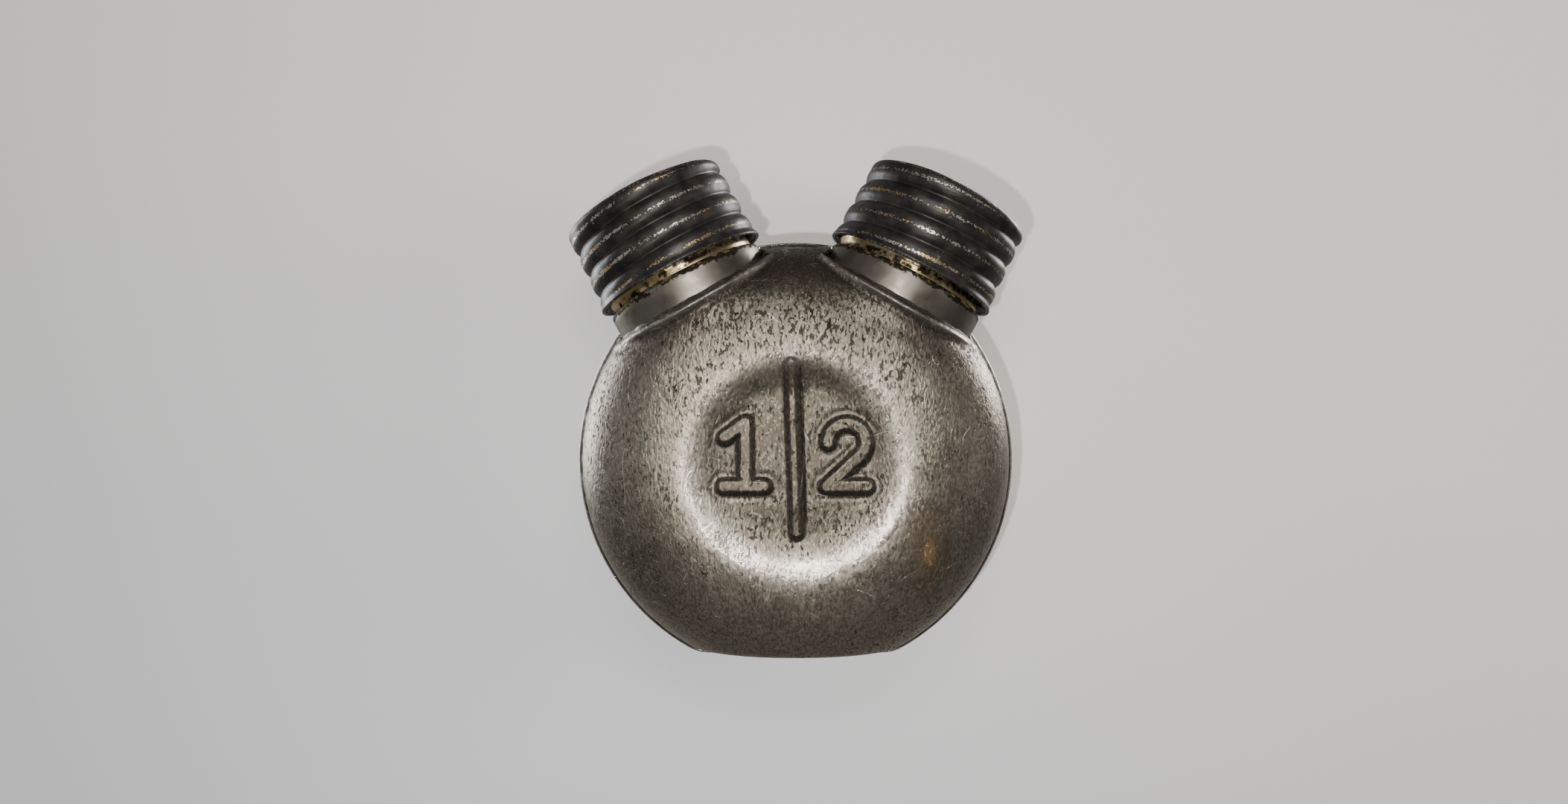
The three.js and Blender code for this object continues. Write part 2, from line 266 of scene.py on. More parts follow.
def sleeved(x, z, h):
    """Height of the disc with the two sleeves and their lips, and how much is lip and gap."""
    lip = np.zeros(len(x))
    gap = np.zeros(len(x))
    for side in (-1, 1):
        d, t, e = sleeve_coords(x, z, side)
        hs = np.sqrt(np.clip(SLEEVE_R ** 2 - d ** 2, 0, None))
        run = side * (x - side * MOUTH_X) * math.sin(TILT) + (z - (MOUTH_Z - ZC)) * math.cos(TILT)
        hs = hs - 7.0 * (1 - smooth(-15.5, -8.5, run))
        hs = np.where((np.abs(d) < SLEEVE_R) & (run > -16), hs, -20)
        inside = e > -1e-6
        near = np.abs(t) < 12.4
        up = soft_max(h, hs, 1.7)
        up = up + near * (0.36 * np.exp(-((e - 0.60) / 0.38) ** 2) - 0.15 * np.exp(-((e - 1.65) / 0.45) ** 2) - 0.26 * (1 - smooth(0.0, 0.18, e)))
        col = np.sqrt(np.clip(COLLAR_R ** 2 - d ** 2, 0, None)) - 0.35
        down = np.where(np.abs(d) < COLLAR_R - 0.12, np.minimum(h, col), h)
        here = (side * x > -2.0) & (np.abs(d) < 16)
        h = np.where(here, np.where(inside, up, down), h)
        lip = np.maximum(lip, here * near * inside * np.exp(-((e - 0.62) / 0.42) ** 2))
        # grime and painted shade: dark lines along the mouth crease and the groove behind the lip
        gap = np.maximum(gap, here * near * (np.exp(-((e + 0.05) / 0.16) ** 2) + 0.45 * np.exp(-((e - 1.6) / 0.32) ** 2)))
    return h, lip, np.clip(gap, 0, 1)


# ---------------------------------------------------------------- spout frame
def spout_axes(side):
    axis = np.array([side * math.sin(TILT), 0, math.cos(TILT)])
    ex = np.array([math.cos(TILT), 0, -side * math.sin(TILT)])
    ey = np.cross(axis, ex)
    origin = np.array([side * MOUTH_X, 0, MOUTH_Z])
    return origin, ex, ey, axis


def spout_place(side):
    o, ex, ey, ax = spout_axes(side)
    return lambda v: o + v[:, :1] * ex + v[:, 1:2] * ey + v[:, 2:3] * ax


def spout_radius(p, side):
    """Distance from the spout's axis and distance along it, for points in mm."""
    o, ex, ey, ax = spout_axes(side)
    q = p - o
    return np.hypot(q @ ex, q @ ey), q @ ax


# ---------------------------------------------------------------- materials
def mat(name):
    m = bpy.data.materials.new(name)
    m.use_nodes = True
    nt = m.node_tree
    nt.nodes.clear()
    out = nt.nodes.new("ShaderNodeOutputMaterial")
    b = nt.nodes.new("ShaderNodeBsdfPrincipled")
    nt.links.new(b.outputs[0], out.inputs[0])
    return m, nt, b, out


class Net:
    """Short forms for building a node tree."""

    def __init__(self, nt):
        self.nt = nt

    def node(self, kind, **props):
        n = self.nt.nodes.new(kind)
        for k, v in props.items():
            setattr(n, k, v)
        return n

    def put(self, sock, v):
        if hasattr(v, "is_linked") or hasattr(v, "links"):
            self.nt.links.new(v, sock)
        else:
            sock.default_value = v

    def coords(self):
        return self.node("ShaderNodeTexCoord").outputs["Object"]

    def scaled(self, vec, s):
        n = self.node("ShaderNodeMapping")
        self.put(n.inputs["Vector"], vec)
        n.inputs["Scale"].default_value = s if hasattr(s, "__len__") else (s, s, s)
        return n.outputs[0]

    def noise(self, vec, scale, detail=4, rough=0.55, distort=0.0):
        n = self.node("ShaderNodeTexNoise")
        self.put(n.inputs["Vector"], vec)
        n.inputs["Scale"].default_value = scale
        n.inputs["Detail"].default_value = detail
        n.inputs["Roughness"].default_value = rough
        n.inputs["Distortion"].default_value = distort
        return n.outputs["Fac"]

    def noise_color(self, vec, scale, detail=2):
        n = self.node("ShaderNodeTexNoise")
        self.put(n.inputs["Vector"], vec)
        n.inputs["Scale"].default_value = scale
        n.inputs["Detail"].default_value = detail
        return n.outputs["Color"]

    def voronoi(self, vec, scale, feature="F1", out="Distance", rand=1.0):
        n = self.node("ShaderNodeTexVoronoi", feature=feature)
        self.put(n.inputs["Vector"], vec)
        n.inputs["Scale"].default_value = scale
        n.inputs["Randomness"].default_value = rand
        return n.outputs[out]

    def ramp(self, fac, stops):
        n = self.node("ShaderNodeValToRGB")
        self.put(n.inputs[0], fac)
        e = n.color_ramp.elements
        while len(e) < len(stops):
            e.new(0.5)
        for el, (p, c) in zip(e, stops):
            el.position = p
            el.color = c if hasattr(c, "__len__") and len(c) == 4 else ((c, c, c, 1) if not hasattr(c, "__len__") else (*c, 1))
        return n.outputs[0]

    def range(self, v, a, b, c=0.0, d=1.0, smoothstep=True):
        n = self.node("ShaderNodeMapRange", interpolation_type="SMOOTHSTEP" if smoothstep else "LINEAR")
        self.put(n.inputs["Value"], v)
        n.inputs["From Min"].default_value = a
        n.inputs["From Max"].default_value = b
        n.inputs["To Min"].default_value = c
        n.inputs["To Max"].default_value = d
        return n.outputs[0]

    def math(self, op, a, b=0.0, clamp=False):
        n = self.node("ShaderNodeMath", operation=op, use_clamp=clamp)
        self.put(n.inputs[0], a)
        self.put(n.inputs[1], b)
        return n.outputs[0]

    def mix(self, fac, a, b):
        n = self.node("ShaderNodeMix", data_type="RGBA")
        self.put(n.inputs[0], fac)
        self.put(n.inputs[6], a if not isinstance(a, tuple) else (*a, 1))
        self.put(n.inputs[7], b if not isinstance(b, tuple) else (*b, 1))
        return n.outputs[2]

    def mixf(self, fac, a, b):
        n = self.node("ShaderNodeMix", data_type="FLOAT")
        self.put(n.inputs[0], fac)
        self.put(n.inputs[2], a)
        self.put(n.inputs[3], b)
        return n.outputs[0]

    def bump(self, height, strength, distance, normal=None):
        n = self.node("ShaderNodeBump")
        n.inputs["Strength"].default_value = strength
        n.inputs["Distance"].default_value = distance
        self.put(n.inputs["Height"], height)
        if normal is not None:
            self.put(n.inputs["Normal"], normal)
        return n.outputs[0]

    def attr(self, name):
        n = self.node("ShaderNodeAttribute", attribute_name=name)
        return n

    def xyz(self, vec):
        n = self.node("ShaderNodeSeparateXYZ")
        self.put(n.inputs[0], vec)
        return n.outputs


def body_material(name):
    """Old tinned sheet: brown-grey film, fine upright dark pits, scratches, rubbed edges."""
    m, nt, b, out = mat(name)
    n = Net(nt)
    co = n.coords()
    x, y, z = n.xyz(co)
    up = n.range(n.math("ADD", z, n.math("MULTIPLY", n.math("SUBTRACT", n.noise(co, 120, 3), 0.5), 0.012)), 0.0345, 0.048)
    broad = n.noise(co, 70, 4, 0.55)
    cloud = n.noise(co, 210, 4, 0.6)
    fine = n.noise(n.scaled(co, (1.0, 1.0, 0.6)), 800, 5, 0.65)
    grain = n.noise(n.scaled(co, (1.0, 1.0, 0.5)), 3300, 3, 0.6)
    # pits: fine upright flecks and fewer big ones, thicker near the spouts and in patches
    dens = n.math("ADD", n.math("MULTIPLY", up, 0.55), n.range(cloud, 0.40, 0.62, 0.0, 0.75))
    thr1 = n.math("SUBTRACT", 0.632, n.math("MULTIPLY", dens, 0.105))
    f1 = n.noise(n.scaled(co, (1.0, 1.0, 0.5)), 2700, 3, 0.5)
    p1 = n.range(n.math("SUBTRACT", f1, thr1), 0.0, 0.035)
    thr2 = n.math("SUBTRACT", 0.72, n.math("MULTIPLY", dens, 0.085))
    f2 = n.noise(n.scaled(co, (1.0, 1.0, 0.62)), 1350, 4, 0.55)
    p2 = n.range(n.math("SUBTRACT", f2, thr2), 0.0, 0.03)
    pits = n.math("MAXIMUM", n.math("MULTIPLY", p1, 0.72), p2)
    # raised ring at r 14: rubbed wear, plus a painted highlight that grows towards the bottom of the ring
    ridge = n.math("MULTIPLY", n.attr("ridge").outputs["Fac"], n.math("MULTIPLY", n.range(cloud, 0.32, 0.60, 0.6, 1.0), n.range(z, 0.036, 0.014, 0.38, 1.0)))
    pits = n.math("MULTIPLY", pits, n.math("SUBTRACT", 1.0, n.math("MULTIPLY", ridge, 0.55)))
    film = n.range(n.math("ADD", n.math("MULTIPLY", broad, 0.55), n.math("MULTIPLY", fine, 0.45)), 0.38, 0.62)
    base = n.mix(film, (0.340, 0.303, 0.240), (0.450, 0.410, 0.338))
    # painted shade: the dish floor is darkened, a little more in its upper half
    recess = n.attr("recess").outputs["Fac"]
    base = n.mix(n.math("MULTIPLY", recess, n.math("MULTIPLY", n.range(z, 0.018, 0.036, 0.90, 1.0), n.range(cloud, 0.36, 0.62, 0.92, 0.72))), base, (0.125, 0.109, 0.086))
    base = n.mix(n.math("MULTIPLY", up, 0.82), base, (0.095, 0.080, 0.061))
    # painted light: the lowest part of the body is made lighter towards the bottom
    base = n.mix(n.range(z, 0.014, 0.004, 0.0, 0.55), base, (0.62, 0.555, 0.45))
    # lighter raised ring: wear and painted highlight
    base = n.mix(n.math("MULTIPLY", ridge, 0.92), base, (0.96, 0.91, 0.82))
    base = n.mix(n.range(grain, 0.34, 0.60, 0.55, 0.0), base, (0.13, 0.114, 0.094))
    base = n.mix(n.math("MULTIPLY", n.range(grain, 0.52, 0.72, 0.0, 0.45), n.math("SUBTRACT", 1.0, n.math("MULTIPLY", up, 0.6))), base, (0.70, 0.645, 0.55))
    base = n.mix(n.math("MULTIPLY", pits, 0.88), base, (0.050, 0.043, 0.036))
    # hair scratches along the contour of slow noises
    s1 = n.math("ABSOLUTE", n.math("SUBTRACT", n.noise(n.scaled(co, (1.0, 1.0, 0.35)), 230, 1), 0.5))
    s2 = n.math("ABSOLUTE", n.math("SUBTRACT", n.noise(n.scaled(co, (0.4, 1.0, 0.9)), 310, 1), 0.47))
    m1 = n.range(n.noise(co, 330, 2), 0.54, 0.60)
    m2 = n.range(n.noise(co, 250, 2), 0.56, 0.62)
    scr = n.math("MAXIMUM", n.math("MULTIPLY", n.range(s1, 0.0055, 0.0018), m1), n.math("MULTIPLY", n.range(s2, 0.0050, 0.0016), m2))
    base = n.mix(n.math("MULTIPLY", scr, 0.6), base, (0.86, 0.83, 0.78))
    # one small rusty brown patch low on the right
    px = n.math("SUBTRACT", x, 0.0170)
    pz = n.math("SUBTRACT", z, 0.0153)
    d2 = n.math("SQRT", n.math("ADD", n.math("MULTIPLY", px, px), n.math("MULTIPLY", n.math("MULTIPLY", pz, 0.22), pz)))
    dd = n.math("ADD", d2, n.math("MULTIPLY", n.math("SUBTRACT", n.noise(co, 900, 4), 0.5), 0.0016))
    face = n.range(y, -0.002, -0.006)
    rust = n.math("MULTIPLY", n.range(dd, 0.0010, 0.0003), face)
    halo = n.math("MULTIPLY", n.range(dd, 0.0040, 0.0010), n.math("MULTIPLY", face, 0.4))
    base = n.mix(halo, base, (0.34, 0.22, 0.12))
    base = n.mix(rust, base, (0.70, 0.47, 0.24))
    lip = n.attr("lip").outputs["Fac"]
    base = n.mix(n.math("MULTIPLY", lip, n.range(cloud, 0.35, 0.6, 0.35, 0.75)), base, (0.60, 0.565, 0.50))
    edge = n.attr("edge").outputs["Fac"]
    rub = n.math("MULTIPLY", edge, n.range(n.noise(co, 260, 4), 0.36, 0.52))
    base = n.mix(rub, base, (0.80, 0.77, 0.72))
    # grime and painted shade: darkening along the shell edges at the seam, the sleeve mouth creases and around the
    # raised marks
    dirt = n.attr("dirt").outputs["Fac"]
    base = n.mix(n.math("MULTIPLY", dirt, n.range(n.noise(co, 900, 3), 0.3, 0.6, 0.55, 0.97)), base, (0.030, 0.026, 0.022))
    n.put(b.inputs["Base Color"], base)
    b.inputs["Metallic"].default_value = 0.94
    rough = n.mixf(n.range(fine, 0.3, 0.7), 0.28, 0.40)
    rough = n.mixf(pits, rough, 0.75)
    rough = n.mixf(ridge, rough, 0.20)
    rough = n.mixf(rub, rough, 0.24)
    n.put(b.inputs["Roughness"], rough)
    h = n.math("SUBTRACT", n.math("MULTIPLY", grain, 1.0), n.math("MULTIPLY", pits, 0.7))
    h = n.math("ADD", h, n.math("MULTIPLY", fine, 0.9))
    h = n.math("SUBTRACT", h, n.math("MULTIPLY", scr, 0.25))
    h = n.math("MULTIPLY", h, n.math("SUBTRACT", 1.0, n.math("MULTIPLY", ridge, 0.70)))
    n.put(b.inputs["Normal"], n.bump(h, 0.65, 0.00014))
    return m


def tin_material(name):
    """Smooth collar tin with a ragged dark stain along its top edge."""
    m, nt, b, out = mat(name)
    n = Net(nt)
    co = n.coords()
    s = n.attr("along").outputs["Fac"]
    broad = n.noise(co, 150, 4)
    fine = n.noise(co, 900, 4, 0.6)
    base = n.mix(n.range(broad, 0.35, 0.65), (0.215, 0.194, 0.162), (0.300, 0.275, 0.236))
    rag = n.math("ADD", n.math("MULTIPLY", n.math("SUBTRACT", n.noise(co, 330, 3, 0.6), 0.5), 1.5), n.math("MULTIPLY", n.math("SUBTRACT", n.noise(co, 1700, 4, 0.7), 0.5), 1.5))
    edge = n.math("ADD", s, rag)
    line = n.range(edge, -1.85, -1.62)
    open_ = n.range(n.noise(co, 420, 3), 0.64, 0.58)
    line = n.math("MULTIPLY", line, open_)
    brassy = n.math("MULTIPLY", n.range(n.math("ADD", s, n.math("MULTIPLY", rag, 0.4)), -1.45, -1.2), 0.8)
    base = n.mix(n.math("MULTIPLY", line, 0.94), base, (0.026, 0.021, 0.016))
    base = n.mix(n.math("MULTIPLY", brassy, n.range(n.noise(co, 800, 4, 0.7), 0.50, 0.60)), base, (0.60, 0.47, 0.24))
    specks = n.range(n.noise(co, 1500, 3, 0.6), 0.685, 0.72)
    base = n.mix(n.math("MULTIPLY", specks, 0.7), base, (0.09, 0.078, 0.064))
    n.put(b.inputs["Base Color"], base)
    b.inputs["Metallic"].default_value = 0.95
    n.put(b.inputs["Roughness"], n.mixf(line, n.mixf(n.range(fine, 0.3, 0.7), 0.33, 0.42), 0.7))
    nb = n.bump(n.math("ADD", fine, n.math("MULTIPLY", line, 0.5)), 0.30, 0.00008)
    n.put(b.inputs["Normal"], nb)
    return m


def cap_material(name):
    """Glossy black finish with a thin broken line of brass and tin rubbed bright along each rib."""
    m, nt, b, out = mat(name)
    n = Net(nt)
    co = n.coords()
    thr = n.attr("thread").outputs["Vector"]
    c, s, along = n.xyz(thr)

    def band(phase, half):
        a = 2 * math.pi * phase
        dot = n.math("ADD", n.math("MULTIPLY", c, math.cos(a)), n.math("MULTIPLY", s, math.sin(a)))
        return n.range(dot, math.cos(2 * math.pi * half), math.cos(2 * math.pi * half * 0.35))

    speck = n.noise(n.scaled(co, (1.0, 1.0, 1.0)), 3600, 3, 0.55)
    clump = n.noise(co, 420, 3, 0.6)
    patch = n.noise(co, 120, 2)
    field = n.math("ADD", n.math("MULTIPLY", band(0.47, 0.10), 0.56), n.math("MULTIPLY", n.math("SUBTRACT", clump, 0.5), 1.0))
    field = n.math("ADD", field, n.math("ADD", n.math("MULTIPLY", n.math("SUBTRACT", patch, 0.5), 0.8), n.math("MULTIPLY", n.math("SUBTRACT", speck, 0.5), 2.1)))
    line = n.range(field, 0.54, 0.64)
    stray = n.math("MULTIPLY", band(0.47, 0.26), n.range(n.math("ADD", speck, n.math("MULTIPLY", n.math("SUBTRACT", clump, 0.5), 0.5)), 0.68, 0.72))
    brassy = n.range(n.math("SUBTRACT", n.noise(co, 260, 3), n.math("MULTIPLY", along, 0.14)), 0.45, 0.53)
    rubc = n.mix(brassy, (0.52, 0.48, 0.41), (0.58, 0.43, 0.20))
    black = n.mix(n.range(n.noise(co, 500, 4, 0.6), 0.35, 0.7), (0.013, 0.011, 0.010), (0.042, 0.036, 0.031))
    edge = n.attr("edge").outputs["Fac"]
    rub2 = n.math("MULTIPLY", edge, n.range(n.math("ADD", n.noise(co, 300, 4, 0.6), n.math("MULTIPLY", n.math("SUBTRACT", speck, 0.5), 1.6)), 0.66, 0.72))
    wear = n.math("MAXIMUM", n.math("MAXIMUM", line, n.math("MULTIPLY", stray, 0.8)), rub2)
    base = n.mix(wear, black, rubc)
    n.put(b.inputs["Base Color"], base)
    n.put(b.inputs["Metallic"], n.mixf(wear, 0.20, 0.95))
    n.put(b.inputs["Roughness"], n.mixf(wear, n.mixf(n.range(clump, 0.3, 0.7), 0.36, 0.50), 0.30))
    b.inputs["Coat Weight"].default_value = 0.12
    b.inputs["Coat Roughness"].default_value = 0.22
    h = n.math("ADD", n.math("MULTIPLY", speck, 0.35), n.math("MULTIPLY", n.noise(co, 600, 3), 0.7))
    h = n.math("SUBTRACT", h, n.math("MULTIPLY", wear, 0.5))
    n.put(b.inputs["Normal"], n.bump(h, 0.40, 0.00008))
    return m


def brass_material(name):
    """Neck brass, golden where rubbed, with oily grime and painted shade packed in the thread grooves."""
    m, nt, b, out = mat(name)
    n = Net(nt)
    co = n.coords()
    c, s, along = n.xyz(n.attr("thread").outputs["Vector"])
    low = n.range(c, 0.1, 0.95)
    tint = n.range(n.noise(co, 230, 4), 0.38, 0.62)
    base = n.mix(tint, (0.66, 0.52, 0.25), (0.58, 0.50, 0.34))
    # darker in the thread grooves: oily grime and painted shade
    dirt = n.math("MULTIPLY", n.math("ADD", low, 0.12), n.range(n.noise(co, 700, 4, 0.6), 0.40, 0.58), True)
    base = n.mix(dirt, base, (0.040, 0.030, 0.020))
    n.put(b.inputs["Base Color"], base)
    b.inputs["Metallic"].default_value = 0.95
    n.put(b.inputs["Roughness"], n.mixf(dirt, 0.27, 0.65))
    n.put(b.inputs["Normal"], n.bump(n.noise(co, 900, 4, 0.6), 0.3, 0.00008))
    return m


def solder_material(name, dark):
    m, nt, b, out = mat(name)
    n = Net(nt)
    co = n.coords()
    tint = n.range(n.noise(co, 420, 5, 0.7), 0.40, 0.62)
    a = (0.36, 0.335, 0.30) if not dark else (0.22, 0.20, 0.175)
    base = n.mix(tint, tuple(v * 0.35 for v in a), a)
    n.put(b.inputs["Base Color"], base)
    b.inputs["Metallic"].default_value = 0.85
    n.put(b.inputs["Roughness"], n.mixf(tint, 0.62, 0.40))
    n.put(b.inputs["Normal"], n.bump(n.noise(co, 700, 5, 0.7), 0.6, 0.00012))
    return m


def leather_material(name):
    m, nt, b, out = mat(name)
    n = Net(nt)
    co = n.coords()
    v = n.voronoi(co, 1500, "DISTANCE_TO_EDGE")
    base = n.mix(n.range(n.noise(co, 300, 5), 0.35, 0.65), (0.050, 0.028, 0.014), (0.16, 0.095, 0.05))
    n.put(b.inputs["Base Color"], base)
    n.put(b.inputs["Roughness"], n.mixf(n.noise(co, 500, 3), 0.45, 0.75))
    n.put(b.inputs["Normal"], n.bump(n.range(v, 0.0, 0.18), 0.5, 0.0001))
    return m


M_BODY = body_material("tinned_sheet")
M_TIN = tin_material("bright_tin")
M_CAP = cap_material("cap_black")
M_BRASS = brass_material("neck_brass")
M_SOLDER = solder_material("solder", False)
M_SEAM = solder_material("seam_dirt", True)
M_LEATHER = leather_material("gasket_leather")

# ---------------------------------------------------------------- shells
NA = 576


def shell(name, front):
    R = R_FRONT if front else R_REAR
    side = -1 if front else 1
    level = FLAT_FRONT if front else FLAT_REAR
    r0 = 25.0
    rr = [np.linspace(0.05, 11.9, 118), np.linspace(11.9, 23.0, 66)[1:], np.linspace(23.0, r0 - 0.3, 18)[1:],
          r0 - np.array([0.24, 0.18, 0.13, 0.09, 0.05, 0.02, 0.0]), r0 + np.array([0.03, 0.10, 0.25, 0.6])]
    t = np.linspace(0, math.pi / 2, 110)
    rs = R_RIDGE + (R - R_RIDGE) * np.sin(t) ** (2 / POW)
    rs = rs[rs > r0 + 0.9]
    rr = np.concatenate(rr + [rs])
    skin = len(rr)
    if front:
        tail_r = [R] * 8
        tail_y = list(np.linspace(Y_SKIRT - 0.15, -0.6, 8))
        tail_e = [0] * 8
        # grime and painted shade: the skirt rows and the outer edge of the front shell are darkened where it meets the
        # rear rim
        tail_d = [0, 0, 0, 0.4, 1, 1, 1, 1]
        dirt = 0.85 * smooth(R - 0.40, R - 0.02, rr) * (half_height(rr, R) < 4.2)
    else:
        tail_r = [R] * 8 + [R - 0.02, R - 0.10, R - 0.24, R - 0.42, R - 0.56, R - 0.64, R - 0.66, R - 0.66]
        tail_y = list(np.linspace(Y_SKIRT - 0.15, Y_RIM + 0.30, 8))
        tail_y += [Y_RIM + 0.16, Y_RIM + 0.06, Y_RIM, Y_RIM, Y_RIM + 0.03, Y_RIM + 0.14, Y_RIM + 0.4, 1.0]
        tail_e = [0, 0, 0, 0, 0, 0.2, 0.4, 0.8, 1, 1, 1, 0.9, 0.3, 0, 0, 0]
        # grime and painted shade on the inner rows of the rear rim
        tail_d = [0] * 11 + [0, 0.3, 0.9, 1, 1]
        dirt = np.zeros(len(rr))
    rr = np.concatenate([rr, tail_r])
    edge = np.concatenate([np.zeros(skin), tail_e])
    dirt = np.concatenate([dirt, tail_d])
    a = np.arange(NA) * 2 * math.pi / NA
    phi = (a + math.pi) % (2 * math.pi) - math.pi
    shift = np.zeros(NA)
    for sd in (-1, 1):
        psi = np.abs(phi - sd * LEAN)
        f = 1 - smooth(math.radians(24.5), math.radians(32.5), psi)
        shift += f * (mouth_radius(phi, sd, R) - r0)
    B = Build()
    rows = []
    for k, r in enumerate(rr):
        if k < skin:
            w = float(np.clip((r - 15.5) / (r0 - 15.5), 0, 1)) if r <= r0 else (R - r) / (R - r0)
            if r <= r0:
                w = w * w * (3 - 2 * w) * 0.35 + 0.65 * w
            rho = r + shift * w
            x, zz = rho * np.sin(a), rho * np.cos(a)
            h = half_height(rho, R)
            if r < 14.5:
                h = h + marks(x * (1 if front else -1), zz, front)
            h, lip, gap = sleeved(x, zz, h)
            if front and r < 14.5:
                gap = np.maximum(gap, mark_dirt_and_shade(x, zz))
            # mask for the raised ring at r 14: rubbed wear and painted highlight
            rub = np.exp(-((rho - 14.0) / 1.6) ** 2)
            # mask for the painted shade on the dish floor
            recess = smooth(13.8, 10.2, rho)
        else:
            x, zz = r * np.sin(a), r * np.cos(a)
            h = np.full(NA, tail_y[k - skin])
            lip = gap = rub = recess = np.zeros(NA)
        z = press_flat(ZC + zz, level)
        p = np.stack([x, side * h, z], 1)
        rows.append(B.add(p, edge=np.maximum(edge[k], 0.0) + 0 * lip, dirt=np.maximum(dirt[k], gap), lip=lip, ridge=rub, recess=recess))
    for lo, hi in zip(rows[:-1], rows[1:]):
        B.bridge(lo, hi)
    top = half_height(0.0, R) + marks(np.zeros(1), np.zeros(1), front)[0]
    mid = B.add([[0, side * float(top), ZC]], edge=np.zeros(1), dirt=np.zeros(1), lip=np.zeros(1), ridge=np.zeros(1), recess=np.ones(1))
    B.fan(rows[0], int(mid[0]))
    v = np.concatenate(B.v)
    # gentle hand-worn unevenness, none on the base flat or the rim
    away = smooth(0.0, 3.0, v[:, 2]) * smooth(2.0, 6.0, np.abs(v[:, 1]))
    v[:, 1] += side * away * (0.06 * soft_noise(v, 21.0, 11 if front else 12) + 0.018 * soft_noise(v, 5.0, 15 if front else 16))
    # clear the openings under the collars
    gone = np.zeros(len(v), bool)
    for sd in (-1, 1):
        rad, along = spout_radius(v, sd)
        gone |= (rad < 10.95) & (along > -7.3)
    B.faces = [f for f in B.faces if not any(gone[i] for i in f)]
    used = np.zeros(len(v), bool)
    for f in B.faces:
        used[f] = True
    remap = np.cumsum(used) - 1
    B.faces = [[int(remap[i]) for i in f] for f in B.faces]
    flat = {}
    for k, parts in B.att.items():
        full = np.zeros(len(v))
        for first, arr in parts:
            full[first:first + len(arr)] = arr
        flat[k] = [(0, full[used])]
    B.att = flat
    B.v = [v[used]]
    B.n = int(used.sum())
    return B.make(name, M_BODY, "bottle", [name])


shell("front_shell", True)
shell("rear_shell", False)

# ---------------------------------------------------------------- divider
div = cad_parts["divider_wall"]
div.data.materials.clear()
div.data.materials.append(M_BODY)


# ---------------------------------------------------------------- solder along the seam
def seam():
    a = np.linspace(0, 2 * math.pi, 1441)[:-1]
    sec = [(R_FRONT - 0.05, Y_RIM - 0.75), (R_FRONT + 0.03, Y_RIM - 0.62), (R_FRONT + 0.10, Y_RIM - 0.40),
           (R_FRONT + 0.24, Y_RIM - 0.20), (R_FRONT + 0.40, Y_RIM - 0.10), (R_FRONT + 0.47, Y_RIM + 0.02), (R_FRONT + 0.40, Y_RIM + 0.15)]
    ringx = []
    for k, (r, y) in enumerate(sec):
        wob = 0.05 * soft_noise(np.stack([40 * np.sin(a), np.full(len(a), k * 0.4), 40 * np.cos(a)], 1), 3.0, 31)
        rr = r + wob * (0 < k < 5)
        lev = FLAT_FRONT - (r - R_FRONT) * 1.25
        z = press_flat(ZC + rr * np.cos(a), max(lev, 0.06), 0.8)
        ringx.append(np.stack([rr * np.sin(a), y + 0.06 * soft_noise(np.stack([40 * np.sin(a), np.zeros(len(a)), 40 * np.cos(a)], 1), 2.2, 33) * (k < 3), z], 1))
    pts = np.stack(ringx)                       # section, angle, 3
    mid = pts[2]
    hid = np.zeros(len(a), bool)
    for sd in (-1, 1):
        rad, along = spout_radius(mid, sd)
        hid |= (rad < COLLAR_R + 0.1) & (along < 6) & (mid[:, 2] > ZC)
    runs, cur = [], []
    start = int(np.argmax(hid))
    order = [(start + i) % len(a) for i in range(len(a))]
    for i in order:
        if hid[i]:
            if cur:
                runs.append(cur)
            cur = []
        else:
            cur.append(i)
    if cur:
        runs.append(cur)
    runs.sort(key=len, reverse=True)
    for name, run in zip(("seam_solder", "seam_solder_top"), runs):
        B = Build()
        rows = [B.add(pts[k][run]) for k in range(len(sec))]
        for lo, hi in zip(rows[:-1], rows[1:]):
            B.bridge(lo, hi, closed=False)
        B.make(name, M_SEAM if name == "seam_solder" else M_SOLDER, "bottle", [name])


seam()


